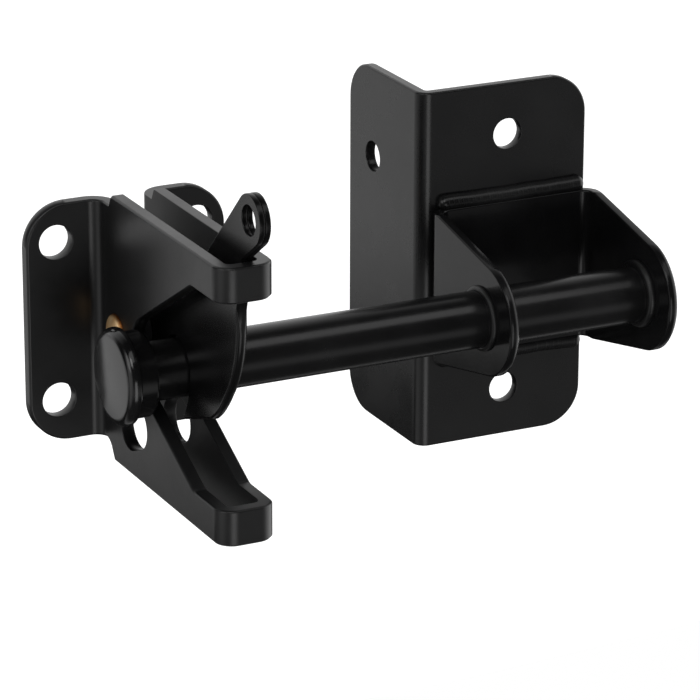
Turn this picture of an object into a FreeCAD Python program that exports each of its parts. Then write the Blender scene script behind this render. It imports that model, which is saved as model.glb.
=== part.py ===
import FreeCAD, Part
import math
import os

# Self-locking gate latch: a folded latch body with a gravity lever, and a striker bar welded into a yoke
# on an angle bracket. Millimetres. The origin is the centre of the four screw holes, on the back plane of
# the latch flanges. +X runs along the strike bar, +Y points back into the gate and post, +Z is up.

Vector = FreeCAD.Vector
EAST = Vector(1, 0, 0)
BACK = Vector(0, 1, 0)
UP = Vector(0, 0, 1)
FULL_TURN = 360

# Strike bar
BAR_R = 6.35
BAR_Y = -28.5
BAR_Z = -4.6
BAR_CHAMFER = 0.6
BAR_OVERHANG = 0.5

# End disc with its hub, on the left end of the bar
DISC_R = 10.5
DISC_THICK = 3.0
DISC_CHAMFER = 0.8
HUB_R = 9.3
HUB_LENGTH = 4.3
HUB_CHAMFER = 0.6
HUB_WALL_GAP = 1.2

# Latch body, one folded sheet
BODY_SHEET = 3.0
CHANNEL_INSIDE = 7.0
EDGE_BREAK = 0.5
FLANGE_WIDTH = 46.0
FLANGE_HEIGHT = 53.4
FLANGE_MID_Z = -0.5
FLANGE_CORNER_R = 9.5
FLANGE_BEND_R = 2.5
NOSE_REACH = 65.1
NOSE_BEND_R = 1.2
WALL_TOP = 28.7
WALL_BOTTOM = -31.3
UPPER_NOSE_HEIGHT = 7.7
LOWER_NOSE_HEIGHT = 7.9
RELIEF_Y = -8.2
RELIEF_STEP = 1.2
RELIEF_R = 0.8
RELIEF_ARC_R = 3.2

# Mouth and throat in the side walls
MOUTH_CORNER_Y = -50.4
MOUTH_CORNER_R = 3.0
ROOF_ANGLE = 30.2
JAW_ANGLE = 26.6
THROAT_R = 8.9
JAW_CORNER_R = 3.0
BAR_SEAT_GAP = 0.3

# Screw holes in the latch flanges
LATCH_HOLE_R = 3.8
LATCH_HOLE_PITCH_X = 32.6
LATCH_HOLE_PITCH_Z = 35.5

# Padlock slot below the throat
PADLOCK_R = 4.9
PADLOCK_BACK_Y = -18.2
PADLOCK_BACK_Z = -20.7
PADLOCK_FRONT_Y = -22.3
PADLOCK_FRONT_Z = -19.0

# Pivot of the lever
PIVOT_Y = -11.6
PIVOT_Z = -1.1
RIVET_R = 2.5
RIVET_HOLE_GAP = 0.05
RIVET_HEAD_R = 4.0
RIVET_HEAD_HEIGHT = 1.6
SPACER_R = 4.5
SPACER_BORE_GAP = 0.05

# Lever, one sheet folded double
LEVER_PLY = 1.2
LEVER_SEAM = 0.1
LEVER_WALL_GAP = 1.0
LEVER_SPACER_GAP = 0.1
LEVER_FOLD_MARGIN = 1.4
LEVER_FOLD_BEVEL = 0.7
LEVER_FOLD_ROOM = 3.0
BOSS_R = 7.0
EYE_Y = -64.9
EYE_Z = 38.2
EYE_R = 5.5
EYE_HOLE_R = 3.2
LEVER_BAR_GAP = 0.6
LEVER_STOP_GAP = 0.3
LEVER_BACK_ELBOW_Y = -38.5
LEVER_BACK_ELBOW_Z = 19.8
LEVER_BACK_ELBOW_R = 8.0
LEVER_FRONT_Y = -59.2
LEVER_SHOULDER_Z = 19.5
LEVER_CURVE_Z = 5.1
LEVER_CURVE_R = 26.0
LEVER_SHIN_Y = -49.6
LEVER_SHIN_Z = -7.8
LEVER_SHIN_R = 22.0
LEVER_TOE_Y = -45.6
LEVER_TOE_Z = -10.6
LEVER_TOE_R = 2.5
LEVER_HEEL_Y = -31.2
LEVER_HEEL_Z = -15.4

# Angle bracket
BRACKET_SHEET = 2.4
BRACKET_LEFT = 70.6
BRACKET_WIDTH = 41.7
BRACKET_DEPTH = 32.9
BRACKET_HEIGHT = 83.0
BRACKET_MID_Z = -2.1
BRACKET_BEND_R = 0.8
BRACKET_CORNER_R = 9.0
BRACKET_EDGE_BREAK = 0.45
BRACKET_HOLE_R = 3.5
FRONT_HOLE_X = 92.4
FRONT_HOLE_MID_Z = -2.3
FRONT_HOLE_PITCH = 60.0
SIDE_HOLE_Y = 21.0
SIDE_HOLE_MID_Z = -2.1
SIDE_HOLE_PITCH = 42.0

# Yoke that holds the bar
YOKE_SHEET = 2.3
YOKE_LEFT = 72.4
YOKE_WIDTH = 41.7
YOKE_HALF_HEIGHT = 17.4
YOKE_BEND_R = 2.0
YOKE_LOBE_R = 12.7
YOKE_LOBE_FORWARD = 0.8
YOKE_SHOULDER = 3.0
YOKE_SHOULDER_R = 9.0
YOKE_EDGE_BREAK = 0.45
BAR_FIT_GAP = 0.05

# Welds
EAR_WELD_LEG = 1.6
EAR_WELD_HEIGHT = 1.3
HUB_WELD_LEG = 0.9
WEB_WELD_LEG = 2.2
WEB_WELD_HEIGHT = 3.0
WEB_WELD_END_GAP = 2.6

# Sizes that follow from the ones above
CHANNEL_HALF = CHANNEL_INSIDE / 2
OUTER_HALF = CHANNEL_HALF + BODY_SHEET
FLANGE_TOP = FLANGE_MID_Z + FLANGE_HEIGHT / 2
FLANGE_BOTTOM = FLANGE_MID_Z - FLANGE_HEIGHT / 2
BRACKET_TOP = BRACKET_MID_Z + BRACKET_HEIGHT / 2
BRACKET_BOTTOM = BRACKET_MID_Z - BRACKET_HEIGHT / 2
NOSE_INSIDE_Y = -(NOSE_REACH - BODY_SHEET)
UPPER_NOSE_BOTTOM = WALL_TOP - UPPER_NOSE_HEIGHT
LOWER_NOSE_TOP = WALL_BOTTOM + LOWER_NOSE_HEIGHT
LEVER_THICK = 2 * LEVER_PLY + LEVER_SEAM
LEVER_RIGHT = CHANNEL_HALF - LEVER_WALL_GAP
LEVER_LEFT = LEVER_RIGHT - LEVER_THICK
HUB_RIGHT = -OUTER_HALF - HUB_WALL_GAP
DISC_RIGHT = HUB_RIGHT - HUB_LENGTH
DISC_LEFT = DISC_RIGHT - DISC_THICK
YOKE_RIGHT = YOKE_LEFT + YOKE_WIDTH
YOKE_BACK = -BRACKET_SHEET
YOKE_FRONT = YOKE_BACK - YOKE_SHEET
YOKE_TOP = BAR_Z + YOKE_HALF_HEIGHT
YOKE_BOTTOM = BAR_Z - YOKE_HALF_HEIGHT
YOKE_LOBE_Y = BAR_Y - YOKE_LOBE_FORWARD
YOKE_TIP = YOKE_LOBE_Y - YOKE_LOBE_R
BAR_RIGHT = YOKE_RIGHT + BAR_OVERHANG
PIVOT_TO_BAR = math.hypot(PIVOT_Y - BAR_Y, PIVOT_Z - BAR_Z)


def in_side(x):
    """Points (y, z) placed on the plane at x, seen from the side."""
    return lambda point: Vector(x, point[0], point[1])


def in_front(y):
    """Points (x, z) placed on the plane at y, seen from the front."""
    return lambda point: Vector(point[0], y, point[1])


def in_plan(z):
    """Points (x, y) placed on the plane at z, seen from above."""
    return lambda point: Vector(point[0], point[1], z)


def unit(ax, ay):
    length = math.hypot(ax, ay)
    return ax / length, ay / length


def corner_arc(before, corner, after, radius):
    """Start, middle and end of the arc that rounds one corner of an outline."""
    ax, ay = unit(before[0] - corner[0], before[1] - corner[1])
    bx, by = unit(after[0] - corner[0], after[1] - corner[1])
    half = math.acos(max(-1.0, min(1.0, ax * bx + ay * by))) / 2
    run = radius / math.tan(half)
    mx, my = unit(ax + bx, ay + by)
    reach = radius / math.sin(half) - radius
    start = (corner[0] + ax * run, corner[1] + ay * run)
    middle = (corner[0] + mx * reach, corner[1] + my * reach)
    end = (corner[0] + bx * run, corner[1] + by * run)
    return start, middle, end


def rounded_face(corners, place):
    """A flat face from corners (u, v, radius); a radius of 0 leaves the corner sharp."""
    edges = []
    first = None
    last = None
    for index, (u, v, radius) in enumerate(corners):
        before = corners[index - 1]
        after = corners[(index + 1) % len(corners)]
        if radius > 0:
            start, middle, end = corner_arc(before, (u, v), after, radius)
        else:
            start = middle = end = (u, v)
        if last is not None:
            edges.append(Part.makeLine(place(last), place(start)))
        else:
            first = start
        if radius > 0:
            edges.append(Part.Arc(place(start), place(middle), place(end)).toShape())
        last = end
    edges.append(Part.makeLine(place(last), place(first)))
    return Part.Face(Part.Wire(edges))


def side_plate(corners, left, right):
    return rounded_face(corners, in_side(left)).extrude(EAST * (right - left))


def front_plate(corners, front, back):
    return rounded_face(corners, in_front(front)).extrude(BACK * (back - front))


def plan_plate(corners, bottom, top):
    return rounded_face(corners, in_plan(bottom)).extrude(UP * (top - bottom))


def rod_x(radius, y, z, left, right):
    return Part.makeCylinder(radius, right - left, Vector(left, y, z), EAST)


def rod_y(radius, x, z, front, back):
    return Part.makeCylinder(radius, back - front, Vector(x, front, z), BACK)


def meet(p, p_angle, q, q_angle):
    """Crossing of two lines, each given by a point and an angle in degrees."""
    pu, pv = math.cos(math.radians(p_angle)), math.sin(math.radians(p_angle))
    qu, qv = math.cos(math.radians(q_angle)), math.sin(math.radians(q_angle))
    run = ((q[0] - p[0]) * qv - (q[1] - p[1]) * qu) / (pu * qv - pv * qu)
    return p[0] + pu * run, p[1] + pv * run


def tangent_point(point, centre, radius, side):
    """Where the line from a point touches a circle, on its left (1) or right (-1) side."""
    dx, dy = point[0] - centre[0], point[1] - centre[1]
    turn = side * math.acos(radius / math.hypot(dx, dy))
    angle = math.atan2(dy, dx) + turn
    return centre[0] + radius * math.cos(angle), centre[1] + radius * math.sin(angle)


def sharp_edges(shape, chosen):
    """Edges whose faces meet at an angle and whose middle point is one of the chosen."""
    found = []
    for edge in shape.Edges:
        middle = edge.valueAt((edge.FirstParameter + edge.LastParameter) / 2)
        normals = []
        for face in shape.ancestorsOfType(edge, Part.Face):
            u, v = face.Surface.parameter(middle)
            normals.append(face.normalAt(u, v))
        if normals[0].dot(normals[-1]) < 0.95 and chosen(middle):
            found.append(edge)
    return found


def break_edges(shape, size, chosen):
    """A sheet part with its chosen edges chamfered, as tumbling and the coat leave them."""
    solid = shape.Solids[0]
    return solid.makeChamfer(size, sharp_edges(solid, chosen))


def folded_section():
    """Plan outline of the folded sheet: flange, wall, nose, wall, flange."""
    wide = FLANGE_WIDTH / 2
    bend_in = FLANGE_BEND_R
    bend_out = FLANGE_BEND_R + BODY_SHEET
    nose_out = NOSE_BEND_R + BODY_SHEET
    return [
        (-wide, 0, 0), (-wide, -BODY_SHEET, 0),
        (-OUTER_HALF, -BODY_SHEET, bend_in),
        (-OUTER_HALF, -NOSE_REACH, nose_out),
        (OUTER_HALF, -NOSE_REACH, nose_out),
        (OUTER_HALF, -BODY_SHEET, bend_in),
        (wide, -BODY_SHEET, 0), (wide, 0, 0),
        (CHANNEL_HALF, 0, bend_out),
        (CHANNEL_HALF, NOSE_INSIDE_Y, NOSE_BEND_R),
        (-CHANNEL_HALF, NOSE_INSIDE_Y, NOSE_BEND_R),
        (-CHANNEL_HALF, 0, bend_out),
    ]


def jaw_point():
    """A point of the lower jaw, straight below the seated bar."""
    reach = BAR_R + BAR_SEAT_GAP
    angle = math.radians(JAW_ANGLE)
    return BAR_Y + reach * math.sin(angle), BAR_Z - reach * math.cos(angle)


def wall_outline():
    """Side outline of the walls, with the mouth, the throat and the bend reliefs."""
    mouth = (MOUTH_CORNER_Y, UPPER_NOSE_BOTTOM)
    throat = meet(mouth, -ROOF_ANGLE, jaw_point(), JAW_ANGLE)
    jaw_front = meet(jaw_point(), JAW_ANGLE, (0, LOWER_NOSE_TOP), 0)
    front = -NOSE_REACH - 1
    return [
        (1, FLANGE_TOP, 0),
        (RELIEF_Y, FLANGE_TOP, RELIEF_R),
        (RELIEF_Y - RELIEF_STEP, WALL_TOP, RELIEF_R),
        (front, WALL_TOP, 0),
        (front, UPPER_NOSE_BOTTOM, 0),
        (mouth[0], mouth[1], MOUTH_CORNER_R),
        (throat[0], throat[1], THROAT_R),
        (jaw_front[0], jaw_front[1], JAW_CORNER_R),
        (front, LOWER_NOSE_TOP, 0),
        (front, WALL_BOTTOM, 0),
        (RELIEF_Y - RELIEF_STEP, WALL_BOTTOM, RELIEF_R),
        (RELIEF_Y + RELIEF_STEP, FLANGE_BOTTOM, RELIEF_ARC_R),
        (1, FLANGE_BOTTOM, 0),
    ]


def on_outer_skin(point):
    """Whether a point of the folded sheet is outside the channel and in front of the flanges."""
    beside = abs(point.x) > CHANNEL_HALF + 0.1 and point.y < -BODY_SHEET + 0.1
    return beside or point.y < -NOSE_REACH + 0.1


def flange_corner_waste():
    """What is cropped off the sheet so that the flanges get round corners."""
    wide = FLANGE_WIDTH / 2
    back = 1
    front = -BODY_SHEET
    block = Part.makeBox(FLANGE_WIDTH + 2, back - front, FLANGE_TOP - FLANGE_BOTTOM,
                         Vector(-wide - 1, front, FLANGE_BOTTOM))
    corner = FLANGE_CORNER_R
    keep = front_plate([
        (-wide, FLANGE_BOTTOM, corner), (wide, FLANGE_BOTTOM, corner),
        (wide, FLANGE_TOP, corner), (-wide, FLANGE_TOP, corner),
    ], front, back)
    return block.cut(keep)


def padlock_slot():
    """Round-ended slot through both walls."""
    left, right = -OUTER_HALF - 1, OUTER_HALF + 1
    ends = [
        rod_x(PADLOCK_R, PADLOCK_FRONT_Y, PADLOCK_FRONT_Z, left, right),
        rod_x(PADLOCK_R, PADLOCK_BACK_Y, PADLOCK_BACK_Z, left, right),
    ]
    ay, az = unit(PADLOCK_BACK_Y - PADLOCK_FRONT_Y, PADLOCK_BACK_Z - PADLOCK_FRONT_Z)
    ny, nz = -az * PADLOCK_R, ay * PADLOCK_R
    middle = side_plate([
        (PADLOCK_FRONT_Y + ny, PADLOCK_FRONT_Z + nz, 0), (PADLOCK_BACK_Y + ny, PADLOCK_BACK_Z + nz, 0),
        (PADLOCK_BACK_Y - ny, PADLOCK_BACK_Z - nz, 0), (PADLOCK_FRONT_Y - ny, PADLOCK_FRONT_Z - nz, 0),
    ], left, right)
    return middle.fuse(ends)


def latch_body():
    """One sheet folded to a channel with a closed nose and two screw flanges."""
    sheet = plan_plate(folded_section(), WALL_BOTTOM - 1, WALL_TOP + 1)
    wide = FLANGE_WIDTH / 2 + 1
    body = sheet.common(side_plate(wall_outline(), -wide, wide))
    body = break_edges(body.cut(flange_corner_waste()), EDGE_BREAK, on_outer_skin)
    holes = [rod_y(LATCH_HOLE_R, sx * LATCH_HOLE_PITCH_X / 2, sz * LATCH_HOLE_PITCH_Z / 2, -BODY_SHEET - 1, 1)
             for sx in (-1, 1) for sz in (-1, 1)]
    pivot = rod_x(RIVET_R + RIVET_HOLE_GAP, PIVOT_Y, PIVOT_Z, -OUTER_HALF - 1, OUTER_HALF + 1)
    return body.cut(holes + [pivot, padlock_slot()])


def bar_path_waste():
    """The room that the bar needs in the lever, at rest and while the lever swings up over it."""
    outer = PIVOT_TO_BAR + BAR_R + LEVER_BAR_GAP
    inner = PIVOT_TO_BAR - BAR_R - LEVER_BAR_GAP
    left, right = LEVER_LEFT - 1, LEVER_RIGHT + 1
    ring = rod_x(outer, PIVOT_Y, PIVOT_Z, left, right).cut(rod_x(inner, PIVOT_Y, PIVOT_Z, left, right))
    down = math.degrees(math.atan2(BAR_Z - PIVOT_Z, BAR_Y - PIVOT_Y)) + FULL_TURN
    far = 60
    wedge = [(PIVOT_Y, PIVOT_Z, 0)]
    for angle in (down, down + 40, down + 80):
        turn = math.radians(angle)
        wedge.append((PIVOT_Y + far * math.cos(turn), PIVOT_Z + far * math.sin(turn), 0))
    sector = ring.common(side_plate(wedge, left, right))
    return sector.fuse(rod_x(BAR_R + LEVER_BAR_GAP, BAR_Y, BAR_Z, left, right))


def lever_arm_outline():
    """Side outline of the lever from the boss to the nose stop, the bowed front and the toe."""
    boss = (PIVOT_Y, PIVOT_Z)
    stop_y = NOSE_INSIDE_Y + LEVER_STOP_GAP
    elbow = (LEVER_BACK_ELBOW_Y, LEVER_BACK_ELBOW_Z)
    boss_top = tangent_point(elbow, boss, BOSS_R, -1)
    eye_back = tangent_point(elbow, (EYE_Y, EYE_Z), EYE_R, 1)
    eye_front = tangent_point((stop_y, WALL_TOP + 2 * LEVER_STOP_GAP), (EYE_Y, EYE_Z), EYE_R, -1)
    return [
        (boss_top[0], boss_top[1], 0),
        (elbow[0], elbow[1], LEVER_BACK_ELBOW_R),
        (eye_back[0], eye_back[1], 0),
        (eye_front[0], eye_front[1], 0),
        (stop_y, WALL_TOP + 2 * LEVER_STOP_GAP, 0),
        (LEVER_FRONT_Y, LEVER_SHOULDER_Z, 0),
        (LEVER_FRONT_Y, LEVER_CURVE_Z, LEVER_CURVE_R),
        (LEVER_SHIN_Y, LEVER_SHIN_Z, LEVER_SHIN_R),
        (LEVER_TOE_Y, LEVER_TOE_Z, LEVER_TOE_R),
        (LEVER_HEEL_Y, LEVER_HEEL_Z, 0),
        (PIVOT_Y, PIVOT_Z - BOSS_R, 0),
    ]


def lever_blank(left, right):
    """The lever's full outline with the boss and the eye, between two x planes."""
    arm = side_plate(lever_arm_outline(), left, right)
    boss = rod_x(BOSS_R, PIVOT_Y, PIVOT_Z, left, right)
    eye = rod_x(EYE_R, EYE_Y, EYE_Z, left, right)
    arm = arm.cut(bar_path_waste())
    return arm.fuse([boss, eye]).removeSplitter().Solids[0]


def fold_edges(blank):
    """The outline edges of both faces along the bowed front, from the shoulder to the toe."""
    found = []
    for edge in blank.Edges:
        box = edge.BoundBox
        flat = box.XLength < 1e-4
        front = box.YMax < LEVER_TOE_Y + LEVER_TOE_R and box.ZMax < LEVER_SHOULDER_Z + 0.01
        if flat and front and box.ZMax - box.ZMin > 0.5:
            found.append(edge)
    return found


def lever_seam():
    """The thin gap between the two plies, closed only at the fold along the bowed front."""
    middle = (LEVER_LEFT + LEVER_RIGHT) / 2
    left, right = middle - LEVER_SEAM / 2, middle + LEVER_SEAM / 2
    blank = lever_blank(left, right)
    room_front, room_back = LEVER_FRONT_Y - LEVER_FOLD_ROOM, LEVER_TOE_Y + 1
    room_bottom = LEVER_HEEL_Z - LEVER_FOLD_ROOM
    fold_room = side_plate([
        (room_front, WALL_TOP, 0), (room_front, room_bottom, 0),
        (room_back, room_bottom, 0), (room_back, WALL_TOP, 0),
    ], left - 1, right + 1)
    shifted = blank.copy()
    shifted.translate(BACK * LEVER_FOLD_MARGIN)
    closed = fold_room.cut(shifted)
    return blank.cut(closed)


def lever():
    """The gravity lever, folded double, with the pivot hole and the cable eye."""
    blank = lever_blank(LEVER_LEFT, LEVER_RIGHT)
    blank = blank.makeChamfer(LEVER_FOLD_BEVEL, fold_edges(blank))
    left, right = LEVER_LEFT - 1, LEVER_RIGHT + 1
    pivot = rod_x(RIVET_R + RIVET_HOLE_GAP, PIVOT_Y, PIVOT_Z, left, right)
    eye = rod_x(EYE_HOLE_R, EYE_Y, EYE_Z, left, right)
    return blank.cut([lever_seam(), pivot, eye])


def rivet_head(x, direction):
    """A head that rests on a wall at x and rises along x in two cones to a small flat."""
    shoulder, top = 0.86 * RIVET_HEAD_R, 0.45 * RIVET_HEAD_R
    low = 0.45 * RIVET_HEAD_HEIGHT
    profile = [(0, 0), (0, RIVET_HEAD_R), (low, shoulder), (RIVET_HEAD_HEIGHT, top), (RIVET_HEAD_HEIGHT, 0)]
    points = [Vector(x + direction * rise, PIVOT_Y, PIVOT_Z + radius) for rise, radius in profile]
    face = Part.Face(Part.makePolygon(points + points[:1]))
    return face.revolve(Vector(0, PIVOT_Y, PIVOT_Z), EAST, FULL_TURN)


def pivot_rivet():
    """Rivet through both walls, with a domed head on each side."""
    shank = rod_x(RIVET_R, PIVOT_Y, PIVOT_Z, -OUTER_HALF, OUTER_HALF)
    return shank.fuse([rivet_head(-OUTER_HALF, -1), rivet_head(OUTER_HALF, 1)])


def pivot_spacer():
    """Sleeve that keeps the lever beside the right wall."""
    right = LEVER_LEFT - LEVER_SPACER_GAP
    sleeve = rod_x(SPACER_R, PIVOT_Y, PIVOT_Z, -CHANNEL_HALF, right)
    return sleeve.cut(rod_x(RIVET_R + SPACER_BORE_GAP, PIVOT_Y, PIVOT_Z, -CHANNEL_HALF - 1, right + 1))


def round_profile(profile):
    """A turned shape about the bar's axis, from points (x, radius)."""
    points = [Vector(x, BAR_Y, BAR_Z + radius) for x, radius in profile]
    face = Part.Face(Part.makePolygon(points + points[:1]))
    return face.revolve(Vector(0, BAR_Y, BAR_Z), EAST, FULL_TURN)


def strike_bar():
    """Round bar, chamfered at its right end, butted against the hub."""
    return round_profile([
        (HUB_RIGHT, 0), (HUB_RIGHT, BAR_R),
        (BAR_RIGHT - BAR_CHAMFER, BAR_R), (BAR_RIGHT, BAR_R - BAR_CHAMFER), (BAR_RIGHT, 0),
    ])


def bar_disc():
    """Turned knob on the end of the bar: a flat disc with bevelled rims and a hub behind it."""
    return round_profile([
        (DISC_LEFT, 0), (DISC_LEFT, DISC_R - DISC_CHAMFER), (DISC_LEFT + DISC_CHAMFER, DISC_R),
        (DISC_RIGHT, DISC_R), (DISC_RIGHT, HUB_R),
        (HUB_RIGHT - HUB_CHAMFER, HUB_R), (HUB_RIGHT, HUB_R - HUB_CHAMFER), (HUB_RIGHT, 0),
    ])


def ring_weld(x, leg, height, direction):
    """Bead round the bar; it stands on a flat face at x and runs out along the bar."""
    inner = BAR_R + BAR_FIT_GAP
    return round_profile([(x, inner), (x, inner + height), (x + direction * leg, inner)])


def yoke_section():
    """Plan outline of the U-shaped strip."""
    inner_left = YOKE_LEFT + YOKE_SHEET
    inner_right = YOKE_RIGHT - YOKE_SHEET
    front = YOKE_TIP - 1
    bend_out = YOKE_BEND_R + YOKE_SHEET
    return [
        (YOKE_LEFT, front, 0), (inner_left, front, 0),
        (inner_left, YOKE_FRONT, YOKE_BEND_R), (inner_right, YOKE_FRONT, YOKE_BEND_R),
        (inner_right, front, 0), (YOKE_RIGHT, front, 0),
        (YOKE_RIGHT, YOKE_BACK, bend_out), (YOKE_LEFT, YOKE_BACK, bend_out),
    ]


def ear_outline():
    """Side outline of the ears: straight at the web, tapering tangent to the round lobe."""
    shoulder_y = YOKE_FRONT - YOKE_SHOULDER
    lobe = (YOKE_LOBE_Y, BAR_Z)
    place = in_side(YOKE_LEFT - 1)
    back_top = (YOKE_BACK, YOKE_TOP)
    back_bottom = (YOKE_BACK, YOKE_BOTTOM)
    top = tangent_point((shoulder_y, YOKE_TOP), lobe, YOKE_LOBE_R, 1)
    bottom = tangent_point((shoulder_y, YOKE_BOTTOM), lobe, YOKE_LOBE_R, -1)
    upper = corner_arc(top, (shoulder_y, YOKE_TOP), back_top, YOKE_SHOULDER_R)
    lower = corner_arc(back_bottom, (shoulder_y, YOKE_BOTTOM), bottom, YOKE_SHOULDER_R)
    lines = [(top, upper[0]), (upper[2], back_top), (back_top, back_bottom),
             (back_bottom, lower[0]), (lower[2], bottom)]
    arcs = [upper, lower, (bottom, (YOKE_TIP, BAR_Z), top)]
    edges = [Part.makeLine(place(a), place(b)) for a, b in lines]
    edges += [Part.Arc(place(a), place(b), place(c)).toShape() for a, b, c in arcs]
    return Part.Face(Part.Wire(Part.sortEdges(edges)[0]))


def yoke():
    """U-shaped strip with two drilled ears for the bar."""
    strip = plan_plate(yoke_section(), YOKE_BOTTOM - 1, YOKE_TOP + 1)
    strip = strip.common(ear_outline().extrude(EAST * (YOKE_WIDTH + 2)))
    strip = break_edges(strip, YOKE_EDGE_BREAK, lambda point: point.y < YOKE_FRONT)
    return strip.cut(rod_x(BAR_R + BAR_FIT_GAP, BAR_Y, BAR_Z, YOKE_LEFT - 1, YOKE_RIGHT + 1))


def bracket_section():
    """Plan outline of the angle plate."""
    right = BRACKET_LEFT + BRACKET_WIDTH
    bend_out = BRACKET_BEND_R + BRACKET_SHEET
    return [
        (BRACKET_LEFT, BRACKET_DEPTH, 0), (BRACKET_LEFT, -BRACKET_SHEET, bend_out),
        (right, -BRACKET_SHEET, 0), (right, 0, 0),
        (BRACKET_LEFT + BRACKET_SHEET, 0, BRACKET_BEND_R), (BRACKET_LEFT + BRACKET_SHEET, BRACKET_DEPTH, 0),
    ]


def angle_bracket():
    """Angle plate with rounded free corners and two screw holes in each leaf."""
    right = BRACKET_LEFT + BRACKET_WIDTH
    corner = BRACKET_CORNER_R
    plate = plan_plate(bracket_section(), BRACKET_BOTTOM, BRACKET_TOP)
    plate = plate.common(front_plate([
        (BRACKET_LEFT - 1, BRACKET_BOTTOM, 0), (right, BRACKET_BOTTOM, corner),
        (right, BRACKET_TOP, corner), (BRACKET_LEFT - 1, BRACKET_TOP, 0),
    ], -BRACKET_SHEET - 1, BRACKET_DEPTH + 1))
    plate = plate.common(side_plate([
        (-BRACKET_SHEET - 1, BRACKET_BOTTOM, 0), (BRACKET_DEPTH, BRACKET_BOTTOM, corner),
        (BRACKET_DEPTH, BRACKET_TOP, corner), (-BRACKET_SHEET - 1, BRACKET_TOP, 0),
    ], BRACKET_LEFT - 1, right + 1))
    inside_x = BRACKET_LEFT + BRACKET_SHEET / 2
    inside_y = -BRACKET_SHEET / 2
    plate = break_edges(plate, BRACKET_EDGE_BREAK, lambda point: point.x < inside_x or point.y < inside_y)
    front_holes = [rod_y(BRACKET_HOLE_R, FRONT_HOLE_X, FRONT_HOLE_MID_Z + side * FRONT_HOLE_PITCH / 2,
                         -BRACKET_SHEET - 1, 1) for side in (-1, 1)]
    side_holes = [rod_x(BRACKET_HOLE_R, SIDE_HOLE_Y, SIDE_HOLE_MID_Z + side * SIDE_HOLE_PITCH / 2,
                        BRACKET_LEFT - 1, BRACKET_LEFT + BRACKET_SHEET + 1) for side in (-1, 1)]
    return plate.cut(front_holes + side_holes)


def web_weld(edge_z, side):
    """Bead along the top (1) or bottom (-1) edge of the yoke's web, against the leaf."""
    left = YOKE_LEFT + WEB_WELD_END_GAP
    right = YOKE_RIGHT - WEB_WELD_END_GAP
    crown = 0.62
    return side_plate([
        (YOKE_BACK, edge_z, 0), (YOKE_BACK - WEB_WELD_LEG, edge_z, 0),
        (YOKE_BACK - WEB_WELD_LEG * crown, edge_z + side * WEB_WELD_HEIGHT * crown, WEB_WELD_LEG),
        (YOKE_BACK, edge_z + side * WEB_WELD_HEIGHT, 0),
    ], left, right)


def build():
    ear_right = YOKE_RIGHT - YOKE_SHEET
    return {
        "latch_body": latch_body(),
        "lever": lever(),
        "pivot_rivet": pivot_rivet(),
        "pivot_spacer": pivot_spacer(),
        "strike_bar": strike_bar(),
        "bar_disc": bar_disc(),
        "disc_weld": ring_weld(HUB_RIGHT, HUB_WELD_LEG, HUB_WELD_LEG, 1),
        "ear_weld_left": ring_weld(YOKE_LEFT, EAR_WELD_LEG, EAR_WELD_HEIGHT, -1),
        "ear_weld_right": ring_weld(ear_right, EAR_WELD_LEG, EAR_WELD_HEIGHT, -1),
        "yoke": yoke(),
        "yoke_weld_top": web_weld(YOKE_TOP, 1),
        "yoke_weld_bottom": web_weld(YOKE_BOTTOM, -1),
        "angle_bracket": angle_bracket(),
    }


os.makedirs("parts", exist_ok=True)
for name, shape in build().items():
    shape.exportStep(os.path.join("parts", name + ".step"))
    box = shape.BoundBox
    print(name, "solids", len(shape.Solids), "valid", shape.isValid(), "volume %.1f" % shape.Volume,
          "x %.2f %.2f y %.2f %.2f z %.2f %.2f" % (box.XMin, box.XMax, box.YMin, box.YMax, box.ZMin, box.ZMax))
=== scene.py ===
import math
import bmesh
import bpy
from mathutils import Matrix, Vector


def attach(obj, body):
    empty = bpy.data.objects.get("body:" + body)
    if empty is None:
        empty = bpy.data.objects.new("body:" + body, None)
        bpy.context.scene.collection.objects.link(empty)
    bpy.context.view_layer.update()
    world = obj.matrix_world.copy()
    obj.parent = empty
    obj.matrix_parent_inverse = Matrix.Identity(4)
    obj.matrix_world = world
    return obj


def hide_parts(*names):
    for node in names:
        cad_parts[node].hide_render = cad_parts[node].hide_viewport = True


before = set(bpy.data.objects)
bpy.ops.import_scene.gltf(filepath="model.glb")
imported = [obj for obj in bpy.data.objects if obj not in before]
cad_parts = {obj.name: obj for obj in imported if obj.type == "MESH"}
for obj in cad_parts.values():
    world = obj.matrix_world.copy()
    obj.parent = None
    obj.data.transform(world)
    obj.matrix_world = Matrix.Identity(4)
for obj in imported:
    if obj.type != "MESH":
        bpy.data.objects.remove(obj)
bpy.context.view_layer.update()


# Latch body. One thick steel strip, punched flat, folded into a narrow channel with a closed nose above and
# below the mouth, and with two screw flanges. The punched edges are tumbled round, and a satin black coat is
# baked over all of it.
MM = 0.001
BODY_EDGE = 0.20 * MM
SAME_POINT = 0.002 * MM
NEARLY_FLAT = math.radians(0.6)
SHARP_EDGE = math.radians(60)
ONE_FLAT = math.cos(math.radians(0.7))
ONE_SURFACE = math.cos(math.radians(50))
WIDE_FLAT_MM2 = 3
CHANNEL_HALF = 3.5 * MM
INSIDE_ROUGHNESS = 0.50
BODY_COAT = {"dark": 0.0022, "light": 0.0040, "gloss": (0.28, 0.38), "ior": 1.42, "peel": 0.006 * MM}
COAT_DRIFT_SCALE = 70
COAT_SPECK_SCALE = 520
COAT_SPECK_SHARE = 0.3
COAT_PEEL_SCALE = 900


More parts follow.
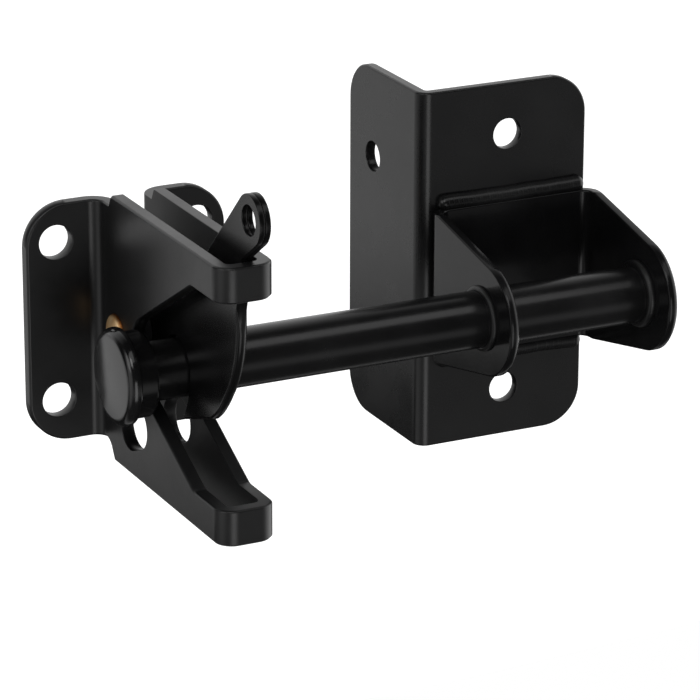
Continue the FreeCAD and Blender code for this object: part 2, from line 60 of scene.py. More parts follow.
def black_coat(name, dark, light, gloss, ior, peel):
    """Baked black coat: slow drift of shade and gloss, dust-fine specks and a faint orange peel."""
    mat = bpy.data.materials.new(name)
    mat.use_nodes = True
    nodes, links = mat.node_tree.nodes, mat.node_tree.links
    shader = nodes["Principled BSDF"]
    shader.inputs["IOR"].default_value = ior
    place = nodes.new("ShaderNodeTexCoord")

    drift = nodes.new("ShaderNodeTexNoise")
    drift.inputs["Scale"].default_value = COAT_DRIFT_SCALE
    drift.inputs["Detail"].default_value = 5
    links.new(place.outputs["Object"], drift.inputs["Vector"])
    shade = nodes.new("ShaderNodeValToRGB")
    shade.color_ramp.elements[0].position = 0.35
    shade.color_ramp.elements[0].color = (dark, dark, dark * 1.06, 1)
    shade.color_ramp.elements[1].position = 0.68
    shade.color_ramp.elements[1].color = (light, light, light * 1.04, 1)
    links.new(drift.outputs["Fac"], shade.inputs["Fac"])
    links.new(shade.outputs["Color"], shader.inputs["Base Color"])

    specks = nodes.new("ShaderNodeTexNoise")
    specks.inputs["Scale"].default_value = COAT_SPECK_SCALE
    specks.inputs["Detail"].default_value = 3
    links.new(place.outputs["Object"], specks.inputs["Vector"])
    blend = nodes.new("ShaderNodeMath")
    blend.operation = "MULTIPLY_ADD"
    blend.inputs[1].default_value = COAT_SPECK_SHARE
    links.new(specks.outputs["Fac"], blend.inputs[0])
    links.new(drift.outputs["Fac"], blend.inputs[2])
    matt = nodes.new("ShaderNodeMapRange")
    matt.inputs["From Min"].default_value = 0.4
    matt.inputs["From Max"].default_value = 0.9
    matt.inputs["To Min"].default_value, matt.inputs["To Max"].default_value = gloss
    links.new(blend.outputs["Value"], matt.inputs["Value"])
    links.new(matt.outputs["Result"], shader.inputs["Roughness"])

    skin = nodes.new("ShaderNodeTexNoise")
    skin.inputs["Scale"].default_value = COAT_PEEL_SCALE
    skin.inputs["Detail"].default_value = 2
    links.new(place.outputs["Object"], skin.inputs["Vector"])
    bump = nodes.new("ShaderNodeBump")
    bump.inputs["Strength"].default_value = 1.0
    bump.inputs["Distance"].default_value = peel
    links.new(skin.outputs["Fac"], bump.inputs["Height"])
    links.new(bump.outputs["Normal"], shader.inputs["Normal"])
    return mat


def even_shading(mesh):
    """Smooth shading that keeps flats truly flat: each corner leans to the widest flat that meets there."""
    work = bmesh.new()
    work.from_mesh(mesh)
    work.normal_update()
    pull = {}
    for first in work.faces:
        if first.index in pull:
            continue
        flat, waiting = {first.index: first}, [first]
        while waiting:
            for edge in waiting.pop().edges:
                for near in edge.link_faces:
                    if near.index not in flat and near.normal.dot(first.normal) > ONE_FLAT:
                        flat[near.index] = near
                        waiting.append(near)
        area_mm2 = sum(face.calc_area() for face in flat.values()) / MM ** 2
        pull.update(dict.fromkeys(flat, area_mm2 ** 2 if area_mm2 > WIDE_FLAT_MM2 else 1.0))
    normals = []
    for face in work.faces:
        for corner in face.loops:
            lean = Vector()
            for near in corner.vert.link_faces:
                if near.normal.dot(face.normal) > ONE_SURFACE:
                    lean += near.normal * pull[near.index]
            normals.append(lean.normalized())
    work.free()
    for face in mesh.polygons:
        face.use_smooth = True
    mesh.normals_split_custom_set(normals)


def rounded_sheet(name, node, edge_radius, mat):
    """A copy of a CAD solid whose outward edges are rolled over, as on tumbled and coated sheet metal."""
    mesh = bpy.data.meshes.new(name)
    work = bmesh.new()
    work.from_mesh(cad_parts[node].data)
    bmesh.ops.remove_doubles(work, verts=work.verts, dist=SAME_POINT)
    bmesh.ops.dissolve_limit(work, angle_limit=NEARLY_FLAT, verts=work.verts, edges=work.edges)
    weight = work.edges.layers.float.new("bevel_weight_edge")
    for edge in work.edges:
        outward = edge.is_convex and edge.calc_face_angle(0) > SHARP_EDGE
        edge[weight] = 1.0 if outward else 0.0
    work.to_mesh(mesh)
    work.free()
    # The solid's own corner normals no longer fit once its edges are rolled.
    if mesh.attributes.get("custom_normal"):
        mesh.attributes.remove(mesh.attributes["custom_normal"])
    piece = bpy.data.objects.new(name, mesh)
    bpy.context.scene.collection.objects.link(piece)
    roll = piece.modifiers.new("edge_roll", "BEVEL")
    roll.limit_method = "WEIGHT"
    roll.width = edge_radius
    roll.segments = 2
    roll.use_clamp_overlap = False
    shown = piece.evaluated_get(bpy.context.evaluated_depsgraph_get())
    finished = bpy.data.meshes.new_from_object(shown)
    piece.modifiers.clear()
    piece.data = finished
    finished.name = name
    finished.materials.clear()
    finished.materials.append(mat)
    even_shading(finished)
    return piece


def dull_inside(mat):
    """The coat is thin and dull on the two faces inside the channel, where the spray hardly reaches."""
    nodes, links = mat.node_tree.nodes, mat.node_tree.links
    place = nodes.new("ShaderNodeTexCoord")
    across = nodes.new("ShaderNodeSeparateXYZ")
    links.new(place.outputs["Object"], across.inputs["Vector"])
    surface = nodes.new("ShaderNodeNewGeometry")
    facing = nodes.new("ShaderNodeSeparateXYZ")
    links.new(surface.outputs["Normal"], facing.inputs["Vector"])
    shares = []
    for value, none_at, full_at in ((across.outputs["X"], CHANNEL_HALF + 0.5 * MM, CHANNEL_HALF + 0.1 * MM),
                                    (facing.outputs["X"], 0.6, 0.95)):
        size = nodes.new("ShaderNodeMath")
        size.operation = "ABSOLUTE"
        links.new(value, size.inputs[0])
        share = nodes.new("ShaderNodeMapRange")
        share.interpolation_type = "SMOOTHSTEP"
        share.inputs["From Min"].default_value = none_at
        share.inputs["From Max"].default_value = full_at
        links.new(size.outputs["Value"], share.inputs["Value"])
        shares.append(share.outputs["Result"])
    inside = nodes.new("ShaderNodeMath")
    inside.operation = "MULTIPLY"
    links.new(shares[0], inside.inputs[0])
    links.new(shares[1], inside.inputs[1])
    roughness = nodes["Principled BSDF"].inputs["Roughness"]
    dulled = nodes.new("ShaderNodeMix")
    dulled.data_type = "FLOAT"
    links.new(inside.outputs["Value"], dulled.inputs["Factor"])
    links.new(roughness.links[0].from_socket, dulled.inputs["A"])
    dulled.inputs["B"].default_value = INSIDE_ROUGHNESS
    links.new(dulled.outputs["Result"], roughness)
    return mat


body_coat = dull_inside(black_coat("latch_body_coat", **BODY_COAT))
body_sheet = rounded_sheet("latch_body_sheet", "latch_body", BODY_EDGE, body_coat)
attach(body_sheet, "fixed_parts")
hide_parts("latch_body")


# Lever. Thin steel sheet folded double along its bowed front edge, so that two plies show at the back and
# round the cable eye. It is pierced for the pivot, coated black and hung loose on the rivet.
LEVER_EDGE = 0.18 * MM
LEVER_COAT = {"dark": 0.0016, "light": 0.0030, "gloss": (0.21, 0.27), "ior": 1.32, "peel": 0.004 * MM}

blade = rounded_sheet("lever_blade", "lever", LEVER_EDGE, black_coat("lever_coat", **LEVER_COAT))
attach(blade, "swing_lever")
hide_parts("lever")


# Spacer. A short length of black steel tube, slipped on the rivet between the left wall and the lever, which
# keeps the lever beside the right wall.
# Painted highlight: this coat's black is several times lighter than the body's, in place of the light the
# tube catches.
SPACER_SHEEN_COAT = {"dark": 0.018, "light": 0.030, "gloss": (0.14, 0.24), "ior": 1.5, "peel": 0.003 * MM}

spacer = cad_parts["pivot_spacer"]
spacer.data.materials.clear()
spacer.data.materials.append(black_coat("spacer_sheen_coat", **SPACER_SHEEN_COAT))


# Pivot rivet. A brass pin set in both walls after coating, so that its two domed heads stay bright; their
# colour is painted dark brown near the rims, as painted shade.
PIVOT_Y = -11.6 * MM
PIVOT_Z = -1.1 * MM
WALL_OUTSIDE = 6.5 * MM
HEAD_R = 4.0 * MM
HEAD_HEIGHT = 1.6 * MM
HEAD_STEPS = 12
SHANK_R = 2.5 * MM
RIVET_SIDES = 64
TURNED_CREASE = math.radians(40)
BRASS_DEEP = (0.90, 0.52, 0.20, 1)
BRASS_BRIGHT = (1.0, 0.76, 0.46, 1)
BRASS_RIM_SHADE = (0.16, 0.055, 0.012, 1)
BRASS_ROUGHNESS = (0.40, 0.55)
BRASS_MOTTLE_SCALE = 450
BRASS_GRAIN = 0.008 * MM
RIM_SHADE_FROM = 0.84 * HEAD_R


def turned(name, profile, centre_y, centre_z, sides, mat):
    """A round piece about an axis along x, from points (x, radius) that start and end on the axis."""
    work = bmesh.new()
    rings = []
    for x, radius in profile:
        if radius == 0:
            rings.append([work.verts.new((x, centre_y, centre_z))])
            continue
        ring = []
        for side in range(sides):
            turn = 2 * math.pi * side / sides
            y = centre_y + radius * math.cos(turn)
            z = centre_z + radius * math.sin(turn)
            ring.append(work.verts.new((x, y, z)))
        rings.append(ring)
    for ring, following in zip(rings, rings[1:]):
        for side in range(sides):
            after = (side + 1) % sides
            if len(ring) == 1:
                work.faces.new((ring[0], following[side], following[after]))
            elif len(following) == 1:
                work.faces.new((ring[side], following[0], ring[after]))
            else:
                work.faces.new((ring[side], following[side], following[after], ring[after]))
    bmesh.ops.recalc_face_normals(work, faces=work.faces)
    for face in work.faces:
        face.smooth = True
    mesh = bpy.data.meshes.new(name)
    work.to_mesh(mesh)
    work.free()
    mesh.set_sharp_from_angle(angle=TURNED_CREASE)
    mesh.materials.append(mat)
    piece = bpy.data.objects.new(name, mesh)
    bpy.context.scene.collection.objects.link(piece)
    return piece


def bright_brass(name):
    """Drawn brass with a soft polish and a warm mottle, and painted shade in dark brown towards each head's
    rim.
    """
    mat = bpy.data.materials.new(name)
    mat.use_nodes = True
    nodes, links = mat.node_tree.nodes, mat.node_tree.links
    shader = nodes["Principled BSDF"]
    shader.inputs["Metallic"].default_value = 1.0
    place = nodes.new("ShaderNodeTexCoord")
    mottle = nodes.new("ShaderNodeTexNoise")
    mottle.inputs["Scale"].default_value = BRASS_MOTTLE_SCALE
    mottle.inputs["Detail"].default_value = 4
    links.new(place.outputs["Object"], mottle.inputs["Vector"])
    tone = nodes.new("ShaderNodeValToRGB")
    tone.color_ramp.elements[0].position = 0.3
    tone.color_ramp.elements[0].color = BRASS_DEEP
    tone.color_ramp.elements[1].position = 0.7
    tone.color_ramp.elements[1].color = BRASS_BRIGHT
    links.new(mottle.outputs["Fac"], tone.inputs["Fac"])

    flattened = nodes.new("ShaderNodeVectorMath")
    flattened.operation = "MULTIPLY"
    flattened.inputs[1].default_value = (0, 1, 1)
    links.new(place.outputs["Object"], flattened.inputs[0])
    from_axis = nodes.new("ShaderNodeVectorMath")
    from_axis.operation = "DISTANCE"
    from_axis.inputs[1].default_value = (0, PIVOT_Y, PIVOT_Z)
    links.new(flattened.outputs["Vector"], from_axis.inputs[0])
    # Painted shade: each head's colour turns dark brown towards its rim, where the head meets the wall.
    rim_shade = nodes.new("ShaderNodeMapRange")
    rim_shade.interpolation_type = "SMOOTHSTEP"
    rim_shade.inputs["From Min"].default_value = RIM_SHADE_FROM
    rim_shade.inputs["From Max"].default_value = HEAD_R
    links.new(from_axis.outputs["Value"], rim_shade.inputs["Value"])
    rim_shaded = nodes.new("ShaderNodeMix")
    rim_shaded.data_type = "RGBA"
    links.new(rim_shade.outputs["Result"], rim_shaded.inputs["Factor"])
    links.new(tone.outputs["Color"], rim_shaded.inputs["A"])
    rim_shaded.inputs["B"].default_value = BRASS_RIM_SHADE
    links.new(rim_shaded.outputs["Result"], shader.inputs["Base Color"])

    polish = nodes.new("ShaderNodeMapRange")
    polish.inputs["To Min"].default_value, polish.inputs["To Max"].default_value = BRASS_ROUGHNESS
    links.new(mottle.outputs["Fac"], polish.inputs["Value"])
    links.new(polish.outputs["Result"], shader.inputs["Roughness"])
    bump = nodes.new("ShaderNodeBump")
    bump.inputs["Strength"].default_value = 1.0
    bump.inputs["Distance"].default_value = BRASS_GRAIN
    links.new(mottle.outputs["Fac"], bump.inputs["Height"])
    links.new(bump.outputs["Normal"], shader.inputs["Normal"])
    return mat


dome = []
for step in range(HEAD_STEPS + 1):
    lift = math.radians(90 - 90 / HEAD_STEPS * step)
    dome.append((HEAD_HEIGHT * math.sin(lift), HEAD_R * math.cos(lift) if step else 0))
left_head = [(-WALL_OUTSIDE - rise, radius) for rise, radius in dome]
right_head = [(WALL_OUTSIDE + rise, radius) for rise, radius in dome[::-1]]
shank = [(-WALL_OUTSIDE, SHANK_R), (WALL_OUTSIDE, SHANK_R)]
rivet = turned("pivot_rivet_heads", left_head + shank + right_head, PIVOT_Y, PIVOT_Z, RIVET_SIDES,
               bright_brass("rivet_brass"))
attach(rivet, "fixed_parts")
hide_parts("pivot_rivet")


# Angle bracket. A strip of steel punched with four holes and folded square; it wraps the corner of the post
# and is coated with the yoke and the bar after welding.
BRACKET_EDGE = 0.15 * MM
BRACKET_COAT = {"dark": 0.0025, "light": 0.0045, "gloss": (0.24, 0.32), "ior": 1.40, "peel": 0.006 * MM}

angle_plate = rounded_sheet("angle_bracket_plate", "angle_bracket", BRACKET_EDGE,
                            black_coat("angle_bracket_coat", **BRACKET_COAT))
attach(angle_plate, "fixed_parts")
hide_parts("angle_bracket")


# Yoke. A strip of steel with two rounded ears, pierced together for the bar, bent to a U and laid with its
# web on the bracket's front leaf.
YOKE_EDGE = 0.30 * MM
YOKE_COAT = {"dark": 0.0024, "light": 0.0042, "gloss": (0.12, 0.20), "ior": 1.29, "peel": 0.006 * MM}

yoke_strip = rounded_sheet("yoke_strip", "yoke", YOKE_EDGE, black_coat("yoke_coat", **YOKE_COAT))
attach(yoke_strip, "fixed_parts")
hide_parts("yoke")


# Yoke welds. Two fillet beads laid by hand in close ripples along the top and bottom of the yoke's web,
# each with a small knob where it stops at the right. The coat runs over them.
WEB_LEFT = 76.6 * MM
WEB_RIGHT = 109.8 * MM
LEAF_FRONT = -2.4 * MM
WEB_BEADS = (("yoke_weld_top", 12.8 * MM, 1, 3), ("yoke_weld_bottom", -22.0 * MM, -1, 8))
WEB_BEAD_R = 2.0 * MM
WEB_BEAD_PITCH = 0.6 * MM
WEB_BEAD_FRONT = 0.35 * MM
WEB_BEAD_RISE = 0.92 * MM
WEB_BEAD_KNOB = 0.30 * MM
WEB_BEAD_STEPS = 40
SLOW_WAVER = 0.07 * MM
QUICK_WAVER = 0.04 * MM
CORE_SHARE = 0.90
SMALLEST_RIPPLE = (0.98, 0.98, 0.90)
LARGEST_RIPPLE = (1.0, 1.0, 1.0)
BEAD_SIDES = 20
RIPPLE_RINGS = 12
BEAD_COAT = {"dark": 0.0025, "light": 0.0045, "gloss": (0.26, 0.38), "ior": 1.40, "peel": 0.006 * MM}
bead_coat = black_coat("weld_bead_coat", **BEAD_COAT)


def weld_bead(name, path, closed, radius, pitch, mat, seed):
    """A bead along a path: a solid core and ripples across it at an even pitch, each a little different."""
    seam_curve = bpy.data.curves.new(name + "_path", "CURVE")
    seam_curve.dimensions = "3D"
    run = seam_curve.splines.new("POLY")
    run.points.add(len(path) - 1)
    for point, place in zip(run.points, path):
        point.co = (*place, 1)
    run.use_cyclic_u = closed
    seam = bpy.data.objects.new(name + "_path", seam_curve)
    bpy.context.scene.collection.objects.link(seam)

    tree = bpy.data.node_groups.new(name + "_ripples", "GeometryNodeTree")
    sockets = tree.interface
    sockets.new_socket("Path", in_out="INPUT", socket_type="NodeSocketObject")
    sockets.new_socket("Bead radius", in_out="INPUT", socket_type="NodeSocketFloat")
    sockets.new_socket("Ripple pitch", in_out="INPUT", socket_type="NodeSocketFloat")
    sockets.new_socket("Coat", in_out="INPUT", socket_type="NodeSocketMaterial")
    sockets.new_socket("Bead", in_out="OUTPUT", socket_type="NodeSocketGeometry")
    nodes, links = tree.nodes, tree.links
    given = nodes.new("NodeGroupInput")
    made = nodes.new("NodeGroupOutput")
    line = nodes.new("GeometryNodeObjectInfo")
    links.new(given.outputs["Path"], line.inputs["Object"])

    core_circle = nodes.new("GeometryNodeCurvePrimitiveCircle")
    core_circle.inputs["Resolution"].default_value = BEAD_SIDES
    core_radius = nodes.new("ShaderNodeMath")
    core_radius.operation = "MULTIPLY"
    core_radius.inputs[1].default_value = CORE_SHARE
    links.new(given.outputs["Bead radius"], core_radius.inputs[0])
    links.new(core_radius.outputs["Value"], core_circle.inputs["Radius"])
    core = nodes.new("GeometryNodeCurveToMesh")
    core.inputs["Fill Caps"].default_value = True
    links.new(line.outputs["Geometry"], core.inputs["Curve"])
    links.new(core_circle.outputs["Curve"], core.inputs["Profile Curve"])

    spots = nodes.new("GeometryNodeCurveToPoints")
    spots.mode = "LENGTH"
    links.new(line.outputs["Geometry"], spots.inputs["Curve"])
    links.new(given.outputs["Ripple pitch"], spots.inputs["Length"])
    ripple = nodes.new("GeometryNodeMeshUVSphere")
    ripple.inputs["Segments"].default_value = BEAD_SIDES
    ripple.inputs["Rings"].default_value = RIPPLE_RINGS
    links.new(given.outputs["Bead radius"], ripple.inputs["Radius"])
    vary = nodes.new("FunctionNodeRandomValue")
    vary.data_type = "FLOAT_VECTOR"
    vary.inputs["Seed"].default_value = seed
    vary.inputs[0].default_value = SMALLEST_RIPPLE
    vary.inputs[1].default_value = LARGEST_RIPPLE
    ripples = nodes.new("GeometryNodeInstanceOnPoints")
    links.new(spots.outputs["Points"], ripples.inputs["Points"])
    links.new(ripple.outputs["Mesh"], ripples.inputs["Instance"])
    links.new(spots.outputs["Rotation"], ripples.inputs["Rotation"])
    links.new(vary.outputs[0], ripples.inputs["Scale"])
    real = nodes.new("GeometryNodeRealizeInstances")
    links.new(ripples.outputs["Instances"], real.inputs["Geometry"])

    join = nodes.new("GeometryNodeJoinGeometry")
    links.new(core.outputs["Mesh"], join.inputs["Geometry"])
    links.new(real.outputs["Geometry"], join.inputs["Geometry"])
    smooth = nodes.new("GeometryNodeSetShadeSmooth")
    links.new(join.outputs["Geometry"], smooth.inputs["Geometry"])
    coated = nodes.new("GeometryNodeSetMaterial")
    links.new(smooth.outputs["Geometry"], coated.inputs["Geometry"])
    links.new(given.outputs["Coat"], coated.inputs["Material"])
    links.new(coated.outputs["Geometry"], made.inputs["Bead"])

    bead = bpy.data.objects.new(name, bpy.data.meshes.new(name))
    bpy.context.scene.collection.objects.link(bead)
    grow = bead.modifiers.new("ripples", "NODES")
    grow.node_group = tree
    values = {"Path": seam, "Bead radius": radius, "Ripple pitch": pitch, "Coat": mat}
    for item in tree.interface.items_tree:
        if item.in_out == "INPUT":
            grow[item.identifier] = values[item.name]
    shown = bead.evaluated_get(bpy.context.evaluated_depsgraph_get())
    finished = bpy.data.meshes.new_from_object(shown)
    bead.modifiers.clear()
    bead.data = finished
    finished.name = name
    bpy.data.objects.remove(seam)
    return bead


def web_path(edge_z, way):
    """A nearly straight line in the corner between the leaf and the web, with the small waver of a hand."""
    places = []
    for step in range(WEB_BEAD_STEPS + 1):
        share = step / WEB_BEAD_STEPS
        x = WEB_LEFT + (WEB_RIGHT - WEB_LEFT) * share
        waver = SLOW_WAVER * math.sin(9 * share + 1.3 * way) + QUICK_WAVER * math.sin(23 * share)
        knob = WEB_BEAD_KNOB * share ** 12
        places.append((x, LEAF_FRONT - WEB_BEAD_FRONT, edge_z + way * (WEB_BEAD_RISE + waver + knob)))
    return places


for node, edge_z, way, seed in WEB_BEADS:
    path = web_path(edge_z, way)
    bead = weld_bead(node + "_bead", path, False, WEB_BEAD_R, WEB_BEAD_PITCH, bead_coat, seed)
    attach(bead, "fixed_parts")
    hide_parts(node)


# Strike bar. Half-inch round steel, cut to length, its right end rounded over, put through both ears and
# coated with them.
BAR_Y = -28.5 * MM
BAR_Z = -4.6 * MM
BAR_R = 6.35 * MM
BAR_LEFT = -7.7 * MM
BAR_RIGHT = 114.6 * MM
BAR_END_MM = ((0.75, 0), (0.45, 0.06), (0.20, 0.22), (0.06, 0.48), (0, 0.85))
BAR_SIDES = 128
BAR_COAT = {"dark": 0.0022, "light": 0.0038, "gloss": (0.20, 0.28), "ior": 1.46, "peel": 0.004 * MM}

bar_profile = [(BAR_LEFT, 0), (BAR_LEFT, BAR_R)]
bar_profile += [(BAR_RIGHT - back * MM, BAR_R - inward * MM) for back, inward in BAR_END_MM]
bar_profile += [(BAR_RIGHT, 0)]
bar = turned("strike_bar_rod", bar_profile, BAR_Y, BAR_Z, BAR_SIDES,
             black_coat("strike_bar_coat", **BAR_COAT))
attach(bar, "fixed_parts")
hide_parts("strike_bar")


# Ear welds. A thin bead of weld metal round the bar on the left face of each ear, sunk a little into the
# corner and smoothed by the coat.
EAR_BEADS = (("ear_weld_left", 72.4 * MM, 0.80 * MM, 5), ("ear_weld_right", 111.8 * MM, 1.10 * MM, 6))
EAR_BEAD_PITCH = 0.4 * MM
EAR_BEAD_LEFT_SHARE = 0.3
EAR_BEAD_OUT_SHARE = 0.2
RING_STEPS = 96


def ring_path(x, radius):
    """A closed circle about the bar at x."""
    places = []
    for step in range(RING_STEPS):
        turn = 2 * math.pi * step / RING_STEPS
        places.append((x, BAR_Y + radius * math.cos(turn), BAR_Z + radius * math.sin(turn)))
    return places


for node, ear_x, bead_r, seed in EAR_BEADS:
    ring = ring_path(ear_x - EAR_BEAD_LEFT_SHARE * bead_r, BAR_R + EAR_BEAD_OUT_SHARE * bead_r)
    bead = weld_bead(node + "_bead", ring, True, bead_r, EAR_BEAD_PITCH, bead_coat, seed)
    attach(bead, "fixed_parts")
    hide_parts(node)


# End disc. A turned steel knob, flat in front, with rolled rims and a plain hub behind, welded to the bar
# and coated with it.
DISC_LEFT = -15.0 * MM
DISC_RIGHT = -12.0 * MM
DISC_R = 10.5 * MM
DISC_FRONT_ROLL = 1.9 * MM
DISC_BACK_ROLL = 0.6 * MM
HUB_R = 9.3 * MM
HUB_RIGHT = -7.7 * MM
HUB_ROLL = 0.7 * MM
HUB_CORNER_MM = ((0, 0.30), (0.10, 0.08), (0.40, 0))
ROLL_STEPS = 6
DISC_SIDES = 128
DISC_COAT = {"dark": 0.0025, "light": 0.0042, "gloss": (0.10, 0.18), "ior": 1.46, "peel": 0.004 * MM}


def rolled(x, radius, roll, way, inward):
    """Quarter-round points of a rim at (x, radius): from the side to the flat, or the other way round."""
    places = []
    for step in range(ROLL_STEPS + 1):
        turn = math.radians(90 / ROLL_STEPS * step)
        places.append((x + way * roll * (1 - math.sin(turn)), radius - roll * (1 - math.cos(turn))))
    return places if inward else places[::-1]


disc_profile = [(DISC_LEFT, 0)]
disc_profile += rolled(DISC_LEFT, DISC_R, DISC_FRONT_ROLL, 1, False)
disc_profile += rolled(DISC_RIGHT, DISC_R, DISC_BACK_ROLL, -1, True)
disc_profile += [(DISC_RIGHT + along * MM, HUB_R + out * MM) for along, out in HUB_CORNER_MM]
disc_profile += rolled(HUB_RIGHT, HUB_R, HUB_ROLL, -1, True)
disc_profile += [(HUB_RIGHT, 0)]
disc = turned("bar_disc_knob", disc_profile, BAR_Y, BAR_Z, DISC_SIDES,
              black_coat("bar_disc_coat", **DISC_COAT))
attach(disc, "fixed_parts")
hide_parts("bar_disc")


# Hub weld. A small bead of weld metal round the bar where it meets the hub's flat right face, coated with
# the rest.
HUB_BEAD_R = 0.5 * MM
HUB_BEAD_PITCH = 0.4 * MM
HUB_BEAD_RIGHT = 0.25 * MM
HUB_BEAD_OUT = 0.2 * MM
HUB_BEAD_SEED = 7

hub_ring = ring_path(HUB_RIGHT + HUB_BEAD_RIGHT, BAR_R + HUB_BEAD_OUT)
hub_bead = weld_bead("disc_weld_bead", hub_ring, True, HUB_BEAD_R, HUB_BEAD_PITCH, bead_coat, HUB_BEAD_SEED)
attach(hub_bead, "fixed_parts")
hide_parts("disc_weld")


# Studio. A pale table well below the object, from under its back onwards, in a white room with four soft
# panels: overhead, at the left, above the camera and low in front. For reflections the room is brightest at
# the right, bright behind, softer at the left, faint in a band below the horizon and dark elsewhere.
FLOOR_Z = -0.120
FLOOR_R = 1.3
FLOOR_X = 0.04
FLOOR_FRONT = 0.03
TABLE_PAINT = 0.74
TABLE_LIFT = 0.50
SHADE_MIDDLE = (0.080, 0.150, FLOOR_Z)
SHADE_INNER = 0.15
SHADE_OUTER = 0.22
SHADE_FRONT = 0.09
SHADE_BACK = 0.14
ROOM_BRIGHTNESS = 0.88
OBJECT_MIDDLE = (0.045, -0.02, 0.0)
PANELS = (
    ("top_panel", (0.10, -0.45, 0.75), 1.30, 0.40, 1.3),
    ("left_panel", (-0.95, -0.35, 0.55), 0.60, 0.60, 1.6),
    ("key_panel", (-0.38, -0.62, 0.67), 0.35, 0.35, 3.0),
    ("low_strip", (-0.165, -0.94, -0.33), 0.45, 0.80, 2.0),
)
CAMERA_PLACE = (-0.3173, -0.75268, 0.28064)
CAMERA_TURN = (70.4, -0.188, -26.233)
CAMERA_LENS = 205.7


def white_table(name):
    """Pale matt table, lifted to white for the camera, dim in reflections under and behind the bracket."""
    mat = bpy.data.materials.new(name)
    mat.use_nodes = True
    nodes, links = mat.node_tree.nodes, mat.node_tree.links
    shader = nodes["Principled BSDF"]
    shader.inputs["Roughness"].default_value = 0.9
    rays = nodes.new("ShaderNodeLightPath")
    place = nodes.new("ShaderNodeNewGeometry")
    gap = nodes.new("ShaderNodeVectorMath")
    gap.operation = "DISTANCE"
    gap.inputs[1].default_value = SHADE_MIDDLE
    links.new(place.outputs["Position"], gap.inputs[0])
    around = nodes.new("ShaderNodeMapRange")
    around.interpolation_type = "SMOOTHSTEP"
    around.inputs["From Min"].default_value = SHADE_INNER
    around.inputs["From Max"].default_value = SHADE_OUTER
    links.new(gap.outputs["Value"], around.inputs["Value"])
    depth = nodes.new("ShaderNodeSeparateXYZ")
    links.new(place.outputs["Position"], depth.inputs["Vector"])
    behind = nodes.new("ShaderNodeMapRange")
    behind.interpolation_type = "SMOOTHSTEP"
    behind.inputs["From Min"].default_value = SHADE_FRONT
    behind.inputs["From Max"].default_value = SHADE_BACK
    links.new(depth.outputs["Y"], behind.inputs["Value"])
    shade = nodes.new("ShaderNodeMath")
    shade.operation = "MULTIPLY"
    links.new(around.outputs["Result"], shade.inputs[0])
    links.new(behind.outputs["Result"], shade.inputs[1])
    tone = nodes.new("ShaderNodeMix")
    tone.data_type = "FLOAT"
    tone.inputs["A"].default_value = 1.0
    links.new(rays.outputs["Is Glossy Ray"], tone.inputs["Factor"])
    links.new(shade.outputs["Value"], tone.inputs["B"])
    paint = nodes.new("ShaderNodeMath")
    paint.operation = "MULTIPLY"
    paint.inputs[1].default_value = TABLE_PAINT
    links.new(tone.outputs["Result"], paint.inputs[0])
    links.new(paint.outputs["Value"], shader.inputs["Base Color"])
    lift = nodes.new("ShaderNodeEmission")
    amount = nodes.new("ShaderNodeMath")
    amount.operation = "MULTIPLY"
    amount.inputs[1].default_value = TABLE_LIFT
    links.new(rays.outputs["Is Camera Ray"], amount.inputs[0])
    links.new(amount.outputs["Value"], lift.inputs["Strength"])
    both = nodes.new("ShaderNodeAddShader")
    links.new(shader.outputs["BSDF"], both.inputs[0])
    links.new(lift.outputs["Emission"], both.inputs[1])
    links.new(both.outputs["Shader"], nodes["Material Output"].inputs["Surface"])
    return mat


bpy.ops.mesh.primitive_circle_add(vertices=128, radius=FLOOR_R, fill_type="NGON",
                                  location=(FLOOR_X, FLOOR_FRONT + FLOOR_R, FLOOR_Z))
floor = bpy.context.object
floor.name = "floor"
floor.data.materials.append(white_table("white_table"))

world = bpy.data.worlds.new("studio")
bpy.context.scene.world = world
world.use_nodes = True
nodes, links = world.node_tree.nodes, world.node_tree.links
room = nodes["Background"]
room.inputs["Color"].default_value = (1, 1, 1, 1)
room.inputs["Strength"].default_value = ROOM_BRIGHTNESS
white = nodes.new("ShaderNodeBackground")
white.inputs["Color"].default_value = (1, 1, 1, 1)
reflected = nodes.new("ShaderNodeBackground")
way = nodes.new("ShaderNodeTexCoord")
split = nodes.new("ShaderNodeSeparateXYZ")
links.new(way.outputs["Generated"], split.inputs["Vector"])


def fade(axis, start, end, at_start, at_end):
    """A soft change of brightness across the room, by how far its directions lean along an axis."""
    ramp = nodes.new("ShaderNodeMapRange")
    ramp.interpolation_type = "SMOOTHSTEP"
    ramp.inputs["From Min"].default_value = start
    ramp.inputs["From Max"].default_value = end
    ramp.inputs["To Min"].default_value = at_start
    ramp.inputs["To Max"].default_value = at_end
    links.new(split.outputs[axis], ramp.inputs["Value"])
    return ramp.outputs["Result"]


def combine(operation, first, second):
    """The product of two values, or the larger of them."""
    both = nodes.new("ShaderNodeMath")
    both.operation = operation
    links.new(first, both.inputs[0])
    links.new(second, both.inputs[1])
    return both.outputs["Value"]


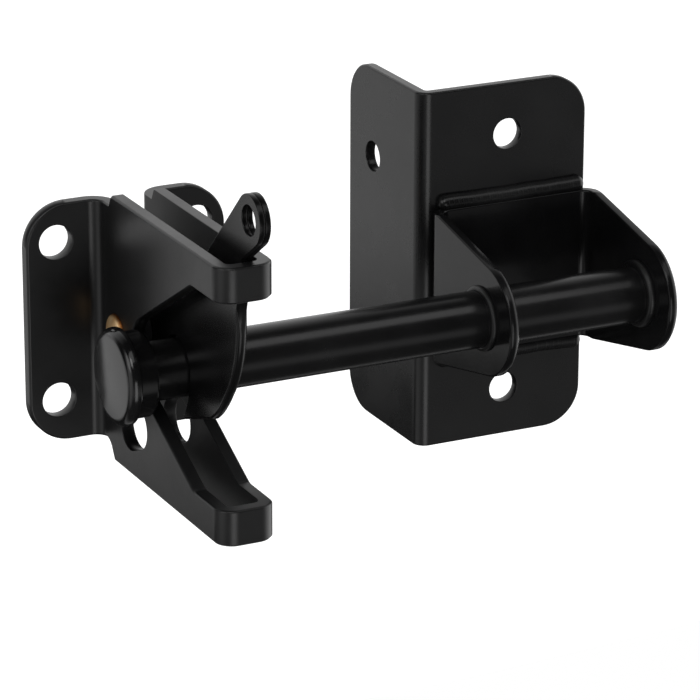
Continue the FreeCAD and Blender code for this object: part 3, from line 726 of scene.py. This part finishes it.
back_wall = combine("MULTIPLY", fade("Y", 0.1, 0.9, 0.02, 1.0), fade("X", -0.78, -0.48, 0.04, 1.0))
left_wall = combine("MULTIPLY", fade("Y", 0.30, 0.0, 0.0, 0.9), fade("X", -0.62, -0.92, 0.0, 1.0))
low_band = combine("MULTIPLY", fade("Z", 0.0, -0.35, 0.02, 0.42), fade("Z", -0.40, -0.66, 1.0, 0.10))
right_wall = fade("X", 0.62, 0.95, 0.0, 2.0)
back_and_low = combine("MAXIMUM", back_wall, low_band)
both_sides = combine("MAXIMUM", left_wall, right_wall)
links.new(combine("MAXIMUM", back_and_low, both_sides), reflected.inputs["Color"])
rays = nodes.new("ShaderNodeLightPath")
lit = nodes.new("ShaderNodeMixShader")
links.new(rays.outputs["Is Glossy Ray"], lit.inputs["Fac"])
links.new(room.outputs["Background"], lit.inputs[1])
links.new(reflected.outputs["Background"], lit.inputs[2])
seen = combine("MAXIMUM", rays.outputs["Is Camera Ray"], rays.outputs["Is Transmission Ray"])
shown_room = nodes.new("ShaderNodeMixShader")
links.new(seen, shown_room.inputs["Fac"])
links.new(lit.outputs["Shader"], shown_room.inputs[1])
links.new(white.outputs["Background"], shown_room.inputs[2])
links.new(shown_room.outputs["Shader"], nodes["World Output"].inputs["Surface"])

# A panel of brightness 1 looks white.
for name, place, width, height, brightness in PANELS:
    lamp = bpy.data.lights.new(name, "AREA")
    lamp.shape = "RECTANGLE"
    lamp.size = width
    lamp.size_y = height
    lamp.energy = brightness * math.pi * width * height
    panel = bpy.data.objects.new(name, lamp)
    bpy.context.scene.collection.objects.link(panel)
    panel.location = place
    panel.rotation_euler = (Vector(OBJECT_MIDDLE) - Vector(place)).to_track_quat("-Z", "Y").to_euler()

camera_data = bpy.data.cameras.new("photo_view")
camera_data.lens = CAMERA_LENS
camera_data.sensor_width = 36
camera_data.clip_start = 0.05
camera_data.clip_end = 20
camera = bpy.data.objects.new("photo_view", camera_data)
bpy.context.scene.collection.objects.link(camera)
camera.location = CAMERA_PLACE
camera.rotation_euler = [math.radians(angle) for angle in CAMERA_TURN]
bpy.context.scene.camera = camera
bpy.context.scene.view_settings.view_transform = "Standard"
